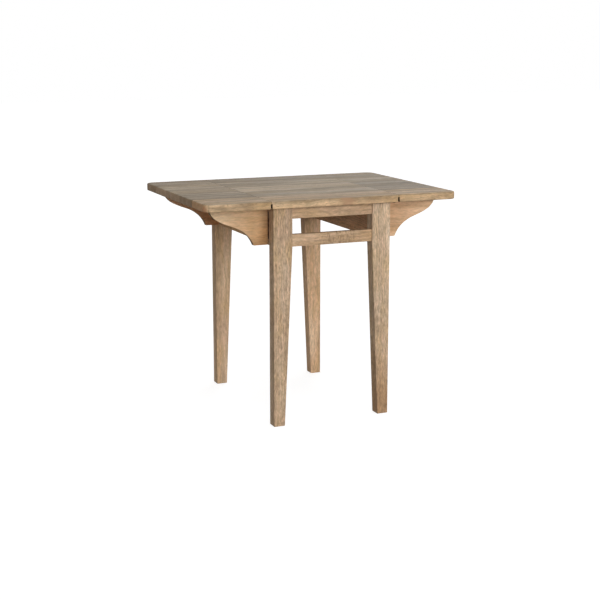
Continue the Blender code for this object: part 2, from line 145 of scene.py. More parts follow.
class TopSettings(bpy.types.PropertyGroup):
    """Sizes and shades of the boards that make up the top"""

    edge_round: length("Edge rounding", "Rounding of the upper outer edges", 0.0045)
    under_round: length("Lower edge rounding", "Rounding of the lower outer edges", 0.0030)
    corner_round: length("Corner rounding", "Rounding of the leaves' outer corners in plan", 0.0300)
    joint_arris: length("Joint arris", "Easing of the edges that meet at a leaf joint", 0.0006)
    joint_lip: length("Joint lip", "Height of the close lip at the leaf joints", 0.0080)
    joint_slot: length("Joint slot", "Width of the leaf joints below the lip", 0.0060)
    seam_width: length("Seam width", "Width of the fine groove between two boards", 0.0012)
    seam_depth: length("Seam depth", "Depth of the fine groove between two boards", 0.0004)
    glue_reach: length("Glue stain", "How far the glue's stain reaches from a seam", 0.0080)
    left_seams: FloatVectorProperty(
        name="Left leaf seams", description="Seams of the left leaf, from the front edge",
        size=4, unit="LENGTH", default=(0.134, 0.259, 0.378, 0.544),
    )
    centre_seams: FloatVectorProperty(
        name="Centre seams", description="Seams of the centre top, from the front edge",
        size=4, unit="LENGTH", default=(0.134, 0.268, 0.404, 0.548),
    )
    right_seams: FloatVectorProperty(
        name="Right leaf seams", description="Seams of the right leaf, from the front edge",
        size=4, unit="LENGTH", default=(0.134, 0.258, 0.390, 0.536),
    )
    grey: FloatVectorProperty(
        name="Greyer boards", description="Shade of every board behind the front one",
        size=3, default=(0.925, 1.06, 1.26),
    )
    # Painted light: the top's upright faces are painted paler than its upper faces
    painted_edge_light: FloatProperty(
        name="Paler edges", description="How much paler the edges are than the faces", default=0.22,
    )
    left_tones: FloatVectorProperty(
        name="Left leaf tones", description="Brightness of the left leaf's boards, front to rear",
        size=5, default=(0.98, 0.67, 0.84, 0.86, 0.73),
    )
    centre_tones: FloatVectorProperty(
        name="Centre tones", description="Brightness of the centre top's boards, front to rear",
        size=5, default=(1.08, 0.85, 1.02, 0.80, 0.64),
    )
    right_tones: FloatVectorProperty(
        name="Right leaf tones", description="Brightness of the right leaf's boards, front to rear",
        size=5, default=(0.94, 0.64, 0.67, 0.75, 0.72),
    )


class WoodSettings(bpy.types.PropertyGroup):
    """Colours and grain sizes of the mango wood"""

    brown: colour("Brown", "Darkest broad streaks", "#A98E70")
    tan: colour("Tan", "Main colour", "#C0A587")
    sand: colour("Sand", "Lighter streaks", "#CDB295")
    pale: colour("Pale", "Lightest streaks", "#D8BFA3")
    golden: colour("Golden", "Warm patches", "#BE9C6E")
    rose: colour("Rose", "Pinkish patches", "#B8957C")
    vessel: colour("Vessels", "Short dark lines of the open vessels", "#7A6248")
    heart: colour("Heartwood", "Warm brown of the heartwood", "#98704A")
    glue: colour("Glue line", "Dark line between two boards", "#5F4E3E")
    end_grain: colour("End grain", "Colour of sawn ends", "#C89E79")
    sawn_edge: colour("Sawn edge", "Colour of the brackets' sawn edges", "#8A6F52")
    knot: colour("Knot", "Small knot at the left leaf's front corner", "#A0583A")
    ring: length("Growth ring", "Usual distance between growth rings", 0.0085)
    streak: length("Streak", "Usual width of a colour streak", 0.040)
    vessel_length: length("Vessel length", "Usual length of a vessel line", 0.011)
    vessel_width: length("Vessel width", "Usual width of a vessel line, as drawn", 0.0030)


class SteelSettings(bpy.types.PropertyGroup):
    """Colours and sizes of the hinges' finish and of the screws"""

    bronzed: colour("Bronzed steel", "Oil-browned hinge plates", "#8E6446")
    rubbed: colour("Rubbed steel", "Where the finish has worn thin", "#B08A66")
    screw_radius: length("Screw head", "Radius of a screw head", 0.0030)
    screw_proud: length("Screw height", "How far a screw head stands proud of its plate", 0.0007)
    recess_width: length("Recess width", "Width of the cross recess", 0.0008)


class StageSettings(bpy.types.PropertyGroup):
    """Floor, light and camera"""

    floor: colour("Floor", "Matt floor under the table", "#808080")
    sky: FloatProperty(name="Sky", description="Even light from all round", default=0.27, min=0.0)
    right: FloatProperty(
        name="Right", description="Low light from the right", default=1.43, min=0.0,
    )
    left: FloatProperty(
        name="Left", description="Higher light from the left", default=0.80, min=0.0,
    )
    side: FloatProperty(name="Side", description="Weak light from the side", default=0.19, min=0.0)
    top: FloatProperty(name="Top", description="Soft light from above", default=0.38, min=0.0)
    back: FloatProperty(name="Back", description="Soft light from behind", default=1.25, min=0.0)
    camera_place: FloatVectorProperty(
        name="Camera place", description="Where the camera stands", size=3, subtype="TRANSLATION",
        unit="LENGTH", default=(-1.6897, -3.9973, 1.2810),
    )
    camera_turn: FloatVectorProperty(
        name="Camera turn", description="How the camera is turned", size=3, subtype="EULER",
        unit="ROTATION",
        default=(math.radians(90.0 - 12.0326), 0.0, math.radians(-23.0645)),
    )
    lens: FloatProperty(
        name="Lens", description="Focal length on a 36 mm sensor", default=74.794, unit="CAMERA",
    )


def add(tree, kind, settings=None, inputs=None):
    """Add a node with its settings, and give its inputs their values or links."""
    node = tree.nodes.new(kind)
    for key, value in (settings or {}).items():
        if key == "stops":
            ramp = node.color_ramp
            while len(ramp.elements) < len(value):
                ramp.elements.new(1.0)
            for element, (at, rgb) in zip(ramp.elements, value):
                element.position = at
                element.color = (*rgb, 1.0)
        else:
            setattr(node, key, value)
    for key, value in (inputs or {}).items():
        if isinstance(value, bpy.types.NodeSocket):
            tree.links.new(value, node.inputs[key])
        else:
            node.inputs[key].default_value = value
    return node


def new_tree(name):
    """A material's empty node tree."""
    mat = bpy.data.materials.new(name)
    mat.use_nodes = True
    mat.node_tree.nodes.clear()
    return mat, mat.node_tree


def mango(
    name, wood, along, centre, pith, tint, boards=False, knot=None, gold=0.5, rose=0.4, curl=1.0,
    ringed=0.15, streaks=0.10, flecks=0.22, mottle=0.12, pores=0.55, heart=None, figure=None,
    sawn_edges=False, rough=(0.74, 0.62), gloss=0.25,
):
    """Mango, planed, sanded and oiled: soft streaks, arched rings, curls and short dark vessels.

    along is the grain's axis, centre the middle of the piece, pith the place of the tree's middle
    from there (along the grain and the two ways across it), and tint shades the whole piece. boards
    says that the piece is glued up and its faces carry their boards' marks, and knot is the place,
    size and colour of a stain. gold and rose are the shares of its warm patches, curl how far its
    interlocked grain swings, ringed, streaks, flecks, mottle and pores how strong these are, heart
    the direction, start, end and share of its heartwood, figure the place, half length, shape and
    share of its dark curls, and sawn_edges says that all but its two broad faces, towards Y, are
    sawn. rough is the roughness between and on the fibres, and gloss the strength of the sheen.
    """
    mat, tree = new_tree(name)
    coord = add(tree, "ShaderNodeTexCoord")
    turn = GRAIN_TURN[along]
    home = Vector(pith) - Euler(turn).to_matrix() @ Vector(centre)
    grain = add(
        tree, "ShaderNodeMapping", {"vector_type": "POINT"},
        {"Vector": coord.outputs["Object"], "Rotation": turn, "Location": home},
    ).outputs[0]
    if boards:
        shift = add(tree, "ShaderNodeAttribute", {"attribute_name": "board_shift"})
        grain = add(
            tree, "ShaderNodeVectorMath", {"operation": "ADD"},
            {0: grain, 1: shift.outputs["Vector"]},
        ).outputs[0]

    # The grain wanders by centimetres over an arm's length and by millimetres over a finger's
    bent = grain
    for squeeze, swing in (((3.0, 9.0, 9.0), 0.030), ((17.0, 30.0, 30.0), 0.011 * curl)):
        slow = add(
            tree, "ShaderNodeVectorMath", {"operation": "MULTIPLY"}, {0: bent, 1: squeeze},
        )
        wander = add(
            tree, "ShaderNodeTexNoise", None,
            {"Vector": slow.outputs[0], "Scale": 1.0, "Detail": 1.5},
        )
        bent = add(
            tree, "ShaderNodeVectorMath", {"operation": "MULTIPLY_ADD"},
            {0: wander.outputs["Color"], 1: (0.0, swing, swing), 2: bent},
        ).outputs[0]

    def patches(long, wide):
        """A pattern whose patches are about this long and wide."""
        squeezed = add(
            tree, "ShaderNodeVectorMath", {"operation": "MULTIPLY"},
            {0: bent, 1: (1.0 / long, 1.0 / wide, 1.0 / wide)},
        )
        noise = add(
            tree, "ShaderNodeTexNoise", None,
            {"Vector": squeezed.outputs[0], "Scale": 1.0, "Detail": 3.0, "Roughness": 0.6},
        )
        return noise.outputs["Fac"]

    def stained(under, over, pattern, fade, share, only=None):
        """Lay a colour over the wood where a pattern goes through the two values of fade."""
        amount = add(
            tree, "ShaderNodeMapRange", None,
            {"Value": pattern, "From Min": fade[0], "From Max": fade[1], "To Max": share},
        ).outputs[0]
        if only:
            amount = add(
                tree, "ShaderNodeMath", {"operation": "MULTIPLY"}, {0: amount, 1: only},
            ).outputs[0]
        return add(
            tree, "ShaderNodeMix", {"data_type": "RGBA"},
            {"Factor": amount, 6: under, 7: (*over, 1.0)},
        ).outputs[2]

    def shaded(under, pattern, span, first, last):
        """Scale the wood's colour from first to last as a pattern goes through its span."""
        amount = add(
            tree, "ShaderNodeMapRange", None,
            {
                "Value": pattern, "From Min": span[0], "From Max": span[1],
                "To Min": first, "To Max": last,
            },
        )
        return add(
            tree, "ShaderNodeVectorMath", {"operation": "SCALE"},
            {0: under, "Scale": amount.outputs[0]},
        ).outputs[0]

    # Broad colour streaks, with golden and pinkish patches and the heartwood over them
    rgb = add(
        tree, "ShaderNodeValToRGB",
        {"stops": [(0.30, wood.brown), (0.45, wood.tan), (0.55, wood.sand), (0.68, wood.pale)]},
        {"Fac": patches(16.0 * wood.streak, wood.streak)},
    ).outputs["Color"]
    rgb = stained(rgb, wood.golden, patches(*GOLD_PATCH), PATCH_FADE, gold)
    rgb = stained(rgb, wood.rose, patches(*ROSE_PATCH), PATCH_FADE, rose)
    if heart:
        direction, start, end, share = heart
        reach = add(
            tree, "ShaderNodeVectorMath", {"operation": "DOT_PRODUCT"},
            {0: coord.outputs["Object"], 1: direction},
        )
        ragged = add(
            tree, "ShaderNodeMath", {"operation": "MULTIPLY_ADD"},
            {0: patches(*HEART_EDGE), 1: HEART_STRAY, 2: reach.outputs["Value"]},
        )
        fade = (start + HEART_STRAY / 2, end + HEART_STRAY / 2)
        rgb = stained(rgb, wood.heart, ragged.outputs[0], fade, share)

    # Growth rings: cylinders round the pith, so flat faces show long arches and ends show arcs.
    # The late wood in each is darker. At a scale of 1, a wave's rings lie pi / 10 apart
    squeezed = add(
        tree, "ShaderNodeVectorMath", {"operation": "MULTIPLY"}, {0: bent, 1: (0.10, 1.0, 1.0)},
    )
    rings = add(
        tree, "ShaderNodeTexWave", {"wave_type": "RINGS", "rings_direction": "X"},
        {
            "Vector": squeezed.outputs[0], "Scale": math.pi / 10 / wood.ring, "Distortion": 3.0,
            "Detail": 2.0, "Detail Scale": 1.0, "Detail Roughness": 0.6,
        },
    )
    late = (0.45, 1.0)
    rgb = shaded(rgb, rings.outputs["Fac"], late, 1.0 + 0.2 * ringed, 1.0 - 0.8 * ringed)

    # Fibres, flecks, mottle and vessels, drawn several times coarser than the real ones to show
    fibre = patches(*FIBRE)
    rgb = shaded(rgb, fibre, USUAL, 0.90, 1.10)
    for size, share in ((FLECK, flecks), (MOTTLE, mottle), (LONG_STREAK, streaks)):
        rgb = shaded(rgb, patches(*size), USUAL, 1.0 - share, 1.0 + share)
    vessels = patches(wood.vessel_length, wood.vessel_width)
    rgb = stained(rgb, wood.vessel, vessels, VESSEL_FADE, pores)
    if figure:
        place, half, long, wide, share = figure
        apart = add(tree, "ShaderNodeSeparateXYZ", None, {0: grain})
        off = add(
            tree, "ShaderNodeMath", {"operation": "SUBTRACT"},
            {0: apart.outputs[0], 1: pith[0] + place},
        )
        away = add(tree, "ShaderNodeMath", {"operation": "ABSOLUTE"}, {0: off.outputs[0]})
        near = add(
            tree, "ShaderNodeMapRange", None,
            {"Value": away.outputs[0], "From Min": half, "From Max": 0.3 * half},
        )
        curls = patches(long, wide)
        rgb = stained(rgb, wood.vessel, curls, CURL_FADE, share, near.outputs[0])
    if knot:
        place, size, stain = knot
        away = add(
            tree, "ShaderNodeVectorMath", {"operation": "DISTANCE"},
            {0: coord.outputs["Object"], 1: place},
        )
        ragged = add(
            tree, "ShaderNodeMath", {"operation": "MULTIPLY_ADD"},
            {0: patches(*KNOT_EDGE), 1: 0.8 * size, 2: away.outputs["Value"]},
        )
        rgb = stained(rgb, stain, ragged.outputs[0], (1.2 * size, 0.7 * size), 0.75)

    # Sawn ends and edges are mixed towards a colour of their own, and are rougher so they lose their
    # sheen. The mix starts and is full at these shares of a face's turn towards the axis
    rgb = add(
        tree, "ShaderNodeVectorMath", {"operation": "MULTIPLY"}, {0: rgb, 1: tint},
    ).outputs[0]
    axis = Euler(turn).to_matrix().inverted() @ Vector((1.0, 0.0, 0.0))
    start, full, share, shade = 0.60, 0.95, 0.60, wood.end_grain
    if sawn_edges:
        axis = (0.0, 1.0, 0.0)
        start, full, share, shade = 0.95, 0.50, 0.85, wood.sawn_edge
    facing = add(
        tree, "ShaderNodeVectorMath", {"operation": "DOT_PRODUCT"},
        {0: coord.outputs["Normal"], 1: axis},
    )
    turned = add(tree, "ShaderNodeMath", {"operation": "ABSOLUTE"}, {0: facing.outputs["Value"]})
    sawn = add(
        tree, "ShaderNodeMapRange", None,
        {"Value": turned.outputs[0], "From Min": start, "From Max": full, "To Max": share},
    )
    rgb = add(
        tree, "ShaderNodeMix", {"data_type": "RGBA"},
        {"Factor": sawn.outputs[0], 6: rgb, 7: (*shade, 1.0)},
    ).outputs[2]
    if boards:
        # Each board has its own shade, and a broken dark line stains the wood along the glue
        # That shade also holds painted light on upright faces and painted shade in the joints
        shade = add(tree, "ShaderNodeAttribute", {"attribute_name": "board_shade"})
        rgb = add(
            tree, "ShaderNodeVectorMath", {"operation": "MULTIPLY"},
            {0: rgb, 1: shade.outputs["Vector"]},
        ).outputs[0]
        glued = add(tree, "ShaderNodeAttribute", {"attribute_name": "glue_line"})
        breaks = patches(*GLUE_BREAK)
        rgb = stained(rgb, wood.glue, breaks, GLUE_FADE, 0.65, glued.outputs["Fac"])

    smooth = add(
        tree, "ShaderNodeMapRange", None,
        {
            "Value": fibre, "From Min": 0.25, "From Max": 0.75,
            "To Min": rough[0], "To Max": rough[1],
        },
    )
    smooth = add(
        tree, "ShaderNodeMath", {"operation": "MULTIPLY_ADD", "use_clamp": True},
        {0: sawn.outputs[0], 1: 0.5, 2: smooth.outputs[0]},
    )
    height = add(tree, "ShaderNodeMath", {"operation": "SUBTRACT"}, {0: fibre, 1: vessels})
    bump = add(
        tree, "ShaderNodeBump", None,
        {"Strength": 0.30, "Distance": 0.0004, "Height": height.outputs[0]},
    )
    shader = add(
        tree, "ShaderNodeBsdfPrincipled", None,
        {
            "Base Color": rgb, "Roughness": smooth.outputs[0], "Normal": bump.outputs[0],
            "IOR": 1.48, "Specular IOR Level": gloss,
        },
    )
    add(tree, "ShaderNodeOutputMaterial", None, {"Surface": shader.outputs[0]})
    return mat


def bronzed_steel(name, steel):
    """Pressed steel plate browned in hot oil: warm brown, low gloss, paler where it has rubbed."""
    mat, tree = new_tree(name)
    coord = add(tree, "ShaderNodeTexCoord")
    cloud = add(
        tree, "ShaderNodeTexNoise", None,
        {"Vector": coord.outputs["Object"], "Scale": 1.0 / STEEL_CLOUD, "Detail": 4.0},
    )
    rubbed = add(
        tree, "ShaderNodeValToRGB", {"stops": [(0.45, steel.bronzed), (0.75, steel.rubbed)]},
        {"Fac": cloud.outputs["Fac"]},
    )
    rough = add(
        tree, "ShaderNodeMapRange", None,
        {
            "Value": cloud.outputs["Fac"], "From Min": 0.3, "From Max": 0.7,
            "To Min": 0.50, "To Max": 0.36,
        },
    )
    bump = add(
        tree, "ShaderNodeBump", None,
        {"Strength": 0.15, "Distance": 0.0002, "Height": cloud.outputs["Fac"]},
    )
    # The skin of brown oxide lets only some of the bare metal's mirror through
    shader = add(
        tree, "ShaderNodeBsdfPrincipled", None,
        {
            "Base Color": rubbed.outputs["Color"], "Metallic": 0.3,
            "Roughness": rough.outputs[0], "Normal": bump.outputs[0],
        },
    )
    add(tree, "ShaderNodeOutputMaterial", None, {"Surface": shader.outputs[0]})
    return mat


def finish_node(node, mat):
    """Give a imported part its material."""
    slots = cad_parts[node].material_slots
    if not slots:
        raise RuntimeError(f"{node} has no material slot")
    for entry in slots:
        entry.material = mat


def middle(node):
    """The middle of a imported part's box."""
    low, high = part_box(node)
    return (low + high) / 2


def new_piece(name, bm, mat, body):
    """Make an object from a bmesh, put it on its body and name its finish."""
    mesh = bpy.data.meshes.new(name)
    bm.to_mesh(mesh)
    bm.free()
    mesh.materials.append(mat)
    obj = bpy.data.objects.new(name, mesh)
    bpy.context.scene.collection.objects.link(obj)
    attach(obj, body)
    return obj


def section(bm, low, high, left_joint, right_joint, top):
    """Extrude a section of the top along Y, with a lip and a slot at each leaf joint."""
    under_lip = high.z - top.joint_lip
    rim = [Vector((low.x, low.y, high.z)), Vector((high.x, low.y, high.z))]
    for side, joint in ((1, right_joint), (-1, left_joint)):
        lip_x = high.x if side > 0 else low.x
        corner = [Vector((lip_x, low.y, low.z))]
        if joint is not None:
            slot_x = joint - side * top.joint_slot / 2
            corner = [
                Vector((lip_x, low.y, under_lip)),
                Vector((slot_x, low.y, under_lip)),
                Vector((slot_x, low.y, low.z)),
            ]
        rim += corner if side > 0 else corner[::-1]
    face = bm.faces.new([bm.verts.new(co) for co in rim])
    pushed = bmesh.ops.extrude_face_region(bm, geom=[face])["geom"]
    far = [v for v in pushed if isinstance(v, bmesh.types.BMVert)]
    bmesh.ops.translate(bm, verts=far, vec=(0.0, high.y - low.y, 0.0))
    bmesh.ops.recalc_face_normals(bm, faces=bm.faces)


def round_over(bm, edges, radius, steps):
    """Round edges over to a radius."""
    bmesh.ops.bevel(
        bm, geom=edges, offset=radius, segments=steps, profile=0.5, affect="EDGES", material=-1,
        clamp_overlap=True,
    )


def lies_at(edge, axis, value):
    """Whether both ends of an edge lie at a value on an axis."""
    return all(abs(v.co[axis] - value) < SAME for v in edge.verts)


def joint_rims(bm, level, sides):
    """The upper edges that meet at a leaf joint."""
    return [
        e for e in bm.edges if lies_at(e, 2, level) and any(lies_at(e, 0, x) for x in sides)
    ]


def cut_seam(bm, y, low, high, outer, top):
    """Score a fine groove between two boards round the top, the underside and the outer end."""
    for off in (-top.glue_reach, -top.seam_width / 2, 0.0, top.seam_width / 2, top.glue_reach):
        bmesh.ops.bisect_plane(
            bm, geom=bm.verts[:] + bm.edges[:] + bm.faces[:], dist=SAME,
            plane_co=(0.0, y + off, 0.0), plane_no=(0.0, 1.0, 0.0),
        )
    loop = [v for v in bm.verts if abs(v.co.y - y) < NEAR]
    for axis, value, inward in ((2, high.z, -1), (2, low.z, 1)):
        flat = [v for v in loop if abs(v.co[axis] - value) < NEAR]
        bmesh.ops.translate(bm, verts=flat, vec=(0.0, 0.0, inward * top.seam_depth))
    if outer is not None:
        flat = [v for v in loop if abs(v.co.x - outer) < NEAR]
        inward = -1 if outer > 0 else 1
        bmesh.ops.translate(bm, verts=flat, vec=(inward * top.seam_depth, 0.0, 0.0))


def mark_boards(bm, low, seams, tones, number, joint, top):
    """Note each board's shade with painted light and shade, its grain's shift, and where the glue
    runs.
    """
    glue_layer = bm.verts.layers.float.new("glue_line")
    for vert in bm.verts:
        near = min(abs(vert.co.y - low.y - s) for s in seams)
        vert[glue_layer] = 1.0 if near < top.seam_width else 0.0
    tone_and_painted_light_layer = bm.faces.layers.float_vector.new("board_shade")
    shift_layer = bm.faces.layers.float_vector.new("board_shift")
    for face in bm.faces:
        reach = face.calc_center_median().y - low.y
        board = sum(1 for s in seams if reach > s)
        turn = 1 if (board + number) % 2 else -1
        inside = abs(face.normal.x) > 0.9 and all(
            abs(abs(v.co.x) - joint) < top.joint_slot for v in face.verts
        )
        # Boards differ on their faces and ends, and the long edges, front and rear, are all alike
        own = 1.0 - face.normal.y ** 2
        grey = own if board else FRONT_GREY * max(face.normal.z, 0.0)
        shade = Vector((1.0, 1.0, 1.0)).lerp(Vector(top.grey), grey)
        # Painted light: the more upright a face, the paler it is painted
        painted_lift = 1.0 + top.painted_edge_light * (1.0 - abs(face.normal.z))
        tone = 1.0 + (tones[board] - 1.0) * own
        # Painted shade: the walls inside a leaf joint are painted dark, where shade falls in the slot
        face[tone_and_painted_light_layer] = (JOINT_PAINTED_SHADE if inside else painted_lift * tone) * shade
        face[shift_layer] = Vector((
            BOARD_STEP[0] * board + SECTION_STEP * number,
            PITH_STEP[0] * turn + BOARD_STEP[1] * board,
            PITH_STEP[1] * turn,
        ))
        face.smooth = True


class TABLE_OT_top(bpy.types.Operator):
    """Build the centre top and the two leaves from glued-up boards"""

    bl_idname = "table.top"
    bl_label = "Top boards"

    def execute(self, context):
        top = context.scene.table_top
        wood = context.scene.table_wood
        rows = (
            ("left_leaf", "left_leaf", top.left_seams, top.left_tones, -1),
            ("centre_top", "frame", top.centre_seams, top.centre_tones, 0),
            ("right_leaf", "right_leaf", top.right_seams, top.right_tones, 1),
        )
        joint = (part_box("right_leaf")[0].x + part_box("centre_top")[1].x) / 2
        # A knot at the left leaf's front corner and a rosy stain in the centre top's front edge
        knots = {
            "left_leaf": ((-0.4490, -0.3125, 0.741), 0.018, wood.knot),
            "centre_top": ((0.040, -0.334, 0.744), 0.045, wood.rose),
        }
        for number, (node, body, seams, tones, side) in enumerate(rows):
            low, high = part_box(node)
            joints = {-1: (None, -joint), 0: (-joint, joint), 1: (joint, None)}[side]
            bm = bmesh.new()
            section(bm, low, high, *joints, top)
            outer = {-1: low.x, 0: None, 1: high.x}[side]
            if outer is not None:
                upright = [
                    e for e in bm.edges
                    if lies_at(e, 0, outer) and abs(e.verts[0].co.z - e.verts[1].co.z) > SAME
                ]
                round_over(bm, upright, top.corner_round, steps=16)
            met = [x for x in (low.x, high.x) if x != outer]
            lips = joint_rims(bm, high.z, met)
            rim = [e for e in bm.edges if lies_at(e, 2, high.z) and e not in lips]
            round_over(bm, rim, top.edge_round, steps=5)
            round_over(bm, joint_rims(bm, high.z, met), top.joint_arris, steps=2)
            sole = [e for e in bm.edges if lies_at(e, 2, low.z)]
            round_over(bm, sole, top.under_round, steps=3)
            # Where two roundings meet, they can leave one corner lying on another
            bmesh.ops.remove_doubles(bm, verts=bm.verts[:], dist=NEAR)
            for reach in seams:
                cut_seam(bm, low.y + reach, low, high, outer, top)
            bm.normal_update()
            mark_boards(bm, low, seams, tones, number, joint, top)
            bmesh.ops.recalc_face_normals(bm, faces=bm.faces)
            mat = mango(
                f"oiled mango, {node}", wood, "X", (0.0, 0.0, high.z), (0.0, 0.0, 0.0),
                tint=(0.795, 0.757, 0.665), boards=True, knot=knots.get(node), gold=0.35, rose=0.20,
                ringed=0.22, streaks=0.38, mottle=0.18, rough=(0.74, 0.64), gloss=0.12,
            )
            obj = new_piece(f"{node}_boards", bm, mat, body)
            obj.data.set_sharp_from_angle(angle=math.radians(30.0))
            weighted = obj.modifiers.new("Flat faces stay flat", "WEIGHTED_NORMAL")
            weighted.keep_sharp = True
            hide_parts(node)
        return {"FINISHED"}


class TABLE_OT_legs(bpy.types.Operator):
    """Finish the four legs, with upright grain"""

    bl_idname = "table.legs"
    bl_label = "Legs"

    def execute(self, context):
        wood = context.scene.table_wood
        piths = (
            (0.3, 0.034, 0.052), (1.7, -0.030, 0.038), (2.9, 0.045, -0.030), (4.1, -0.05, 0.02),
        )
        tints = ((1.03, 1.03, 1.04), (1.14, 1.18, 1.23), (1.20, 1.19, 1.18), (1.26, 1.18, 1.10))
        hearts = {
            "front_left": None,
            "front_right": ((0.0, 0.0, -1.0), -0.34, -0.04, 0.75),
            "rear_left": ((0.0, 0.0, 1.0), 0.46, 0.66, 0.60),
            "rear_right": ((0.0, 0.0, 1.0), 0.52, 0.72, 0.25),
        }
        for (corner, _, sy), pith, tint in zip(CORNERS, piths, tints):
            node = f"{corner}_leg"
            mat = mango(
                f"oiled mango, {node}", wood, "Z", middle(node), pith, tint, heart=hearts[corner],
                flecks=0.36 if sy < 0 else 0.22, pores=0.55 if corner == "front_left" else 0.32,
                figure=(-0.027, 0.090, 0.030, 0.0085, 0.35) if corner == "front_right" else None,
            )
            finish_node(node, mat)
        return {"FINISHED"}


class TABLE_OT_frame_boards(bpy.types.Operator):
    """Finish the end rails and the side aprons, with level grain"""

    bl_idname = "table.frame_boards"
    bl_label = "Rails and aprons"

    def execute(self, context):
        wood = context.scene.table_wood
        rows = (
            ("front_top_rail", "X", (0.2, 0.06, 0.02)),
            ("front_lower_rail", "X", (1.3, -0.05, 0.03)),
            ("rear_top_rail", "X", (2.6, 0.05, -0.03)),
            ("rear_lower_rail", "X", (3.7, -0.06, 0.02)),
            ("left_apron", "Y", (0.9, 0.07, 0.05)),
            ("right_apron", "Y", (2.1, -0.06, 0.06)),
        )
        tints = {"left_apron": (1.30, 1.12, 0.88), "right_apron": (1.25, 1.04, 0.88)}
        for node, along, pith in rows:
            mat = mango(
                f"oiled mango, {node}", wood, along, middle(node), pith,
                tints.get(node, (1.00, 0.95, 0.89)),
                figure=(0.020, 0.090, 0.0055, 0.020, 0.75) if node == "front_lower_rail" else None,
            )
            finish_node(node, mat)
        return {"FINISHED"}


class TABLE_OT_brackets(bpy.types.Operator):
    """Finish the four swing brackets, with level grain"""

    bl_idname = "table.brackets"
    bl_label = "Swing brackets"

    def execute(self, context):
        wood = context.scene.table_wood
        piths = ((0.5, 0.05, 0.07), (1.9, -0.06, 0.06), (3.2, 0.06, -0.05), (4.4, -0.05, -0.06))
        tints = ((1.54, 1.57, 1.52), (1.34, 1.21, 1.10), (1.50, 1.20, 1.02), (1.36, 1.22, 1.10))
        hearts = {
            "front_left": ((1.0, 0.0, -0.8), -0.93, -0.73, 0.95),
            "front_right": ((-1.0, 0.0, 0.8), 0.20, 0.38, 0.50),
            "rear_left": ((1.0, 0.0, 0.0), -0.36, -0.22, 0.80),
            "rear_right": ((-1.0, 0.0, 0.0), -0.36, -0.22, 0.45),
        }
        for (corner, *_), pith, tint in zip(CORNERS, piths, tints):
            node = f"{corner}_bracket"
            mat = mango(
                f"oiled mango, {node}", wood, "X", middle(node), pith, tint, ringed=0.05,
                flecks=0.14, pores=0.20, heart=hearts[corner], sawn_edges=True,
            )
            finish_node(node, mat)
        return {"FINISHED"}


class TABLE_OT_blocks(bpy.types.Operator):
    """Finish the corner blocks and the cleats under the top"""

    bl_idname = "table.blocks"
    bl_label = "Blocks and cleats"

    def execute(self, context):
        wood = context.scene.table_wood
        for number, (corner, *_) in enumerate(CORNERS):
            for part, along in (("corner_block", "Z"), ("top_cleat", "Y")):
                node = f"{corner}_{part}"
                mat = mango(
                    f"oiled mango, {node}", wood, along, middle(node),
                    (0.6 + 0.9 * number, 0.04, 0.03), (0.94, 0.90, 0.86),
                )
                finish_node(node, mat)
        return {"FINISHED"}


class TABLE_OT_hinges(bpy.types.Operator):
    """Finish the hinge plates and pins"""

    bl_idname = "table.hinges"
    bl_label = "Hinges"

    def execute(self, context):
        mat = bronzed_steel("oil-browned steel, hinges", context.scene.table_steel)
        for corner, *_ in CORNERS:
            for part in (
                "bracket_hinge_apron_plate", "bracket_hinge_bracket_plate", "bracket_hinge_pin",
                "leaf_hinge_top_plate", "leaf_hinge_leaf_plate", "leaf_hinge_pin",
            ):
                finish_node(f"{corner}_{part}", mat)
        return {"FINISHED"}


def screw(bm, place, facing, spin, steel):
    """Add a countersunk screw head with a cross recess, facing away from its plate."""
    part = bmesh.new()
    radius = steel.screw_radius
    proud = steel.screw_proud

    def flat_faces():
        """The flat of the head inside its rim, as the cuts so far leave it."""
        return [
            f for f in part.faces
            if f.normal.z > 0.99 and f.calc_center_median().to_2d().length < 0.6 * radius
        ]

    # A low cone with an inset rim, and a cross sunk into the flat inside it
    bmesh.ops.create_cone(
        part, cap_ends=True, segments=20, radius1=radius, radius2=0.86 * radius, depth=2 * proud,
    )
    cap = max(part.faces, key=lambda f: f.calc_center_median().z)
    bmesh.ops.inset_region(part, faces=[cap], thickness=0.24 * radius, use_even_offset=True)
    half = steel.recess_width / 2
    for normal in ((1.0, 0.0, 0.0), (0.0, 1.0, 0.0)):
        for at in (-half, half):
            inner = flat_faces()
            edges = {e for f in inner for e in f.edges}
            verts = {v for f in inner for v in f.verts}
            bmesh.ops.bisect_plane(
                part, geom=[*verts, *edges, *inner], dist=SAME,
                plane_co=Vector(normal) * at, plane_no=normal,
            )
    cross = [
        f for f in flat_faces()
        if min(abs(f.calc_center_median().x), abs(f.calc_center_median().y)) < half
    ]
    sunk = bmesh.ops.extrude_face_region(part, geom=cross)["geom"]
    bmesh.ops.translate(
        part, verts=[v for v in sunk if isinstance(v, bmesh.types.BMVert)],
        vec=(0.0, 0.0, -0.9 * proud),
    )
    bmesh.ops.delete(part, geom=[f for f in cross if f.is_valid], context="FACES")
    turn = Vector(facing).to_track_quat("Z", "Y").to_matrix().to_4x4()
    matrix = Matrix.Translation(place) @ turn @ Matrix.Rotation(spin, 4, "Z")
    bmesh.ops.transform(part, matrix=matrix, verts=part.verts)
    mesh = bpy.data.meshes.new("screw")
    part.to_mesh(mesh)
    part.free()
    bm.from_mesh(mesh)
    bpy.data.meshes.remove(mesh)


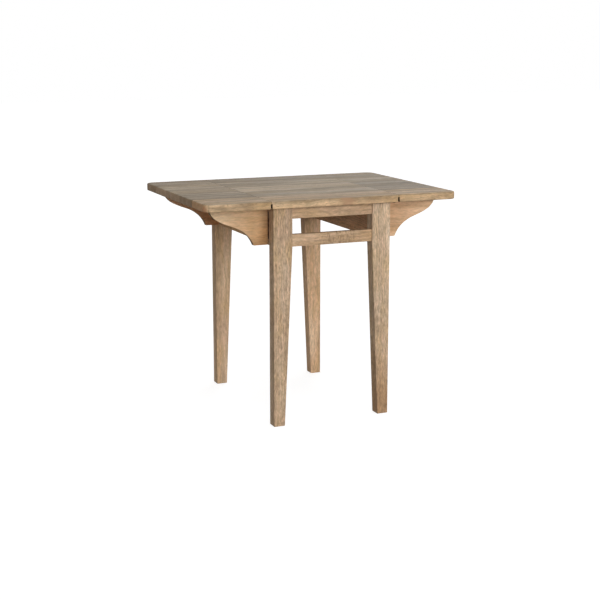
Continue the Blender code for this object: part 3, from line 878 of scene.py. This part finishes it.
class TABLE_OT_screws(bpy.types.Operator):
    """Drive the screws of the hinges, the corner blocks and the cleats"""

    bl_idname = "table.screws"
    bl_label = "Screws"

    def execute(self, context):
        steel = context.scene.table_steel
        mat = bronzed_steel("oil-browned steel, screws", steel)
        groups = {}

        def drive(body, place, facing):
            """Add a screw to its body's group, each one turned a little further than the last."""
            if body not in groups:
                groups[body] = [bmesh.new(), 0]
            bm, count = groups[body]
            screw(bm, place, facing, 0.7 + 1.3 * count, steel)
            groups[body][1] += 1

        for corner, sx, sy in CORNERS:
            side = "left" if sx < 0 else "right"
            bracket_low, bracket_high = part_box(f"{corner}_bracket")
            low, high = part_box(f"{corner}_bracket_hinge_apron_plate")
            near = max(abs(bracket_low.y), abs(bracket_high.y))
            far = max(abs(low.y), abs(high.y))
            face = min(abs(low.x), abs(high.x)) + PLATE
            levels = [low.z + (high.z - low.z) * t for t in (1 / 6, 1 / 2, 5 / 6)]
            for z in levels:
                drive("frame", (sx * face, sy * (near + far) / 2, z), (sx, 0, 0))
            low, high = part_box(f"{corner}_bracket_hinge_bracket_plate")
            reach = max(abs(low.x), abs(high.x))
            face = max(abs(low.y), abs(high.y)) - PLATE
            for z, back in zip(levels, BRACKET_PLATE_SCREWS):
                drive(f"{corner}_bracket", (sx * (reach - back), sy * face, z), (0, -sy, 0))
            low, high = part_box(f"{corner}_leaf_hinge_top_plate")
            inner = min(abs(low.x), abs(high.x))
            ends = (low.y + PLATE_END_SCREW, high.y - PLATE_END_SCREW)
            under = high.z - PLATE
            for y in ends:
                drive("frame", (sx * (inner + TOP_PLATE_SCREW), y, under), (0, 0, -1))
            low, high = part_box(f"{corner}_leaf_hinge_leaf_plate")
            outer = max(abs(low.x), abs(high.x))
            for y in ends:
                for back in LEAF_PLATE_SCREWS:
                    drive(f"{side}_leaf", (sx * (outer - back), y, under), (0, 0, -1))
            low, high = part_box(f"{corner}_corner_block")
            centre = (low + high) / 2
            for t in (0.25, 0.75):
                z = low.z + (high.z - low.z) * t
                drive("frame", (centre.x, centre.y, z), (-sx, -sy, 0))
            low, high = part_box(f"{corner}_top_cleat")
            centre = (low + high) / 2
            for t in (0.2, 0.8):
                drive("frame", (centre.x, low.y + (high.y - low.y) * t, low.z), (0, 0, -1))
        for body, (bm, _) in groups.items():
            new_piece(f"{body}_screws", bm, mat, body)
        return {"FINISHED"}


def seen_white(tree):
    """1 where the eye, a reflection or a view through glass meets a surface, and 0 for light."""
    path = add(tree, "ShaderNodeLightPath")
    seen = path.outputs["Is Camera Ray"]
    for ray in ("Is Glossy Ray", "Is Transmission Ray"):
        seen = add(
            tree, "ShaderNodeMath", {"operation": "MAXIMUM"}, {0: seen, 1: path.outputs[ray]},
        ).outputs[0]
    return seen


class TABLE_OT_stage(bpy.types.Operator):
    """Set the floor, the studio light and the camera"""

    bl_idname = "table.stage"
    bl_label = "Stage"

    def execute(self, context):
        stage = context.scene.table_stage
        scene = context.scene
        scene.view_settings.view_transform = "Standard"

        # Matt white floor: to the eye it is white with a faint shadow, and it throws a little light up
        mat, tree = new_tree("matt white floor")
        plain = add(tree, "ShaderNodeBsdfDiffuse", None, {"Color": (*stage.floor, 1.0)})
        faint = add(tree, "ShaderNodeBsdfDiffuse", None, {"Color": (0.45, 0.45, 0.45, 1.0)})
        glow = add(tree, "ShaderNodeEmission", None, {"Strength": 0.82})
        lit = add(tree, "ShaderNodeAddShader", None, {0: faint.outputs[0], 1: glow.outputs[0]})
        mixed = add(
            tree, "ShaderNodeMixShader", None,
            {0: seen_white(tree), 1: plain.outputs[0], 2: lit.outputs[0]},
        )
        add(tree, "ShaderNodeOutputMaterial", None, {"Surface": mixed.outputs[0]})
        bm = bmesh.new()
        bmesh.ops.create_grid(bm, x_segments=1, y_segments=1, size=FLOOR_REACH)
        bmesh.ops.translate(bm, verts=bm.verts, vec=(0.0, 0.0, -FLOOR_DROP))
        mesh = bpy.data.meshes.new("floor")
        bm.to_mesh(mesh)
        bm.free()
        mesh.materials.append(mat)
        floor = bpy.data.objects.new("floor", mesh)
        scene.collection.objects.link(floor)

        # White all round to the eye and in reflections, and an even dim light for the object
        world = bpy.data.worlds.new("studio")
        scene.world = world
        world.use_nodes = True
        tree = world.node_tree
        tree.nodes.clear()
        white = (1.0, 1.0, 1.0, 1.0)
        dim = add(tree, "ShaderNodeBackground", None, {"Color": white, "Strength": stage.sky})
        full = add(tree, "ShaderNodeBackground", None, {"Color": white, "Strength": 1.0})
        mixed = add(
            tree, "ShaderNodeMixShader", None,
            {0: seen_white(tree), 1: dim.outputs[0], 2: full.outputs[0]},
        )
        add(tree, "ShaderNodeOutputWorld", None, {"Surface": mixed.outputs[0]})

        # Broad soft lights: the way round from the front, the height and the spread in degrees. The
        # one from behind lights the far sides and leaves no glare on the top
        for name, strength, azimuth, height, spread in (
            ("right_light", stage.right, 15.0, 4.0, 30.0),
            ("left_light", stage.left, -16.0, 15.0, 24.0),
            ("side_light", stage.side, -42.0, 5.0, 24.0),
            ("top_light", stage.top, 0.0, 70.0, 40.0),
            ("back_light", stage.back, 140.0, 14.0, 40.0),
        ):
            lamp = bpy.data.lights.new(name, "SUN")
            lamp.energy = strength
            lamp.specular_factor = 0.0 if name == "back_light" else 1.0
            lamp.angle = math.radians(spread)
            obj = bpy.data.objects.new(name, lamp)
            scene.collection.objects.link(obj)
            a = math.radians(azimuth)
            e = math.radians(height)
            away = Vector((-math.sin(a) * math.cos(e), math.cos(a) * math.cos(e), -math.sin(e)))
            obj.rotation_euler = away.to_track_quat("-Z", "Y").to_euler()
            # A sun's place is only for show
            obj.location = -3.0 * away

        data = bpy.data.cameras.new("camera")
        data.sensor_width = 36.0
        data.lens = stage.lens
        data.clip_start = 0.05
        data.clip_end = 60.0
        camera = bpy.data.objects.new("camera", data)
        scene.collection.objects.link(camera)
        camera.location = stage.camera_place
        camera.rotation_euler = stage.camera_turn
        scene.camera = camera
        return {"FINISHED"}


class TABLE_PT_build(bpy.types.Panel):
    """Lists the steps that dress the table"""

    bl_idname = "TABLE_PT_build"
    bl_label = "Drop-leaf table"
    bl_space_type = "VIEW_3D"
    bl_region_type = "UI"
    bl_category = "Table"

    def draw(self, context):
        for step in STEPS:
            self.layout.operator(step.bl_idname)


STEPS = (
    TABLE_OT_top,
    TABLE_OT_legs,
    TABLE_OT_frame_boards,
    TABLE_OT_brackets,
    TABLE_OT_blocks,
    TABLE_OT_hinges,
    TABLE_OT_screws,
    TABLE_OT_stage,
)
SETTINGS = {
    "table_top": TopSettings,
    "table_wood": WoodSettings,
    "table_steel": SteelSettings,
    "table_stage": StageSettings,
}


def register():
    for name, group in SETTINGS.items():
        bpy.utils.register_class(group)
        setattr(bpy.types.Scene, name, PointerProperty(type=group))
    for step in STEPS:
        bpy.utils.register_class(step)
    bpy.utils.register_class(TABLE_PT_build)


def unregister():
    bpy.utils.unregister_class(TABLE_PT_build)
    for step in reversed(STEPS):
        bpy.utils.unregister_class(step)
    for name, group in SETTINGS.items():
        delattr(bpy.types.Scene, name)
        bpy.utils.unregister_class(group)


def main():
    register()
    bpy.ops.table.top()
    bpy.ops.table.legs()
    bpy.ops.table.frame_boards()
    bpy.ops.table.brackets()
    bpy.ops.table.blocks()
    bpy.ops.table.hinges()
    bpy.ops.table.screws()
    bpy.ops.table.stage()


if __name__ == "__main__":
    main()
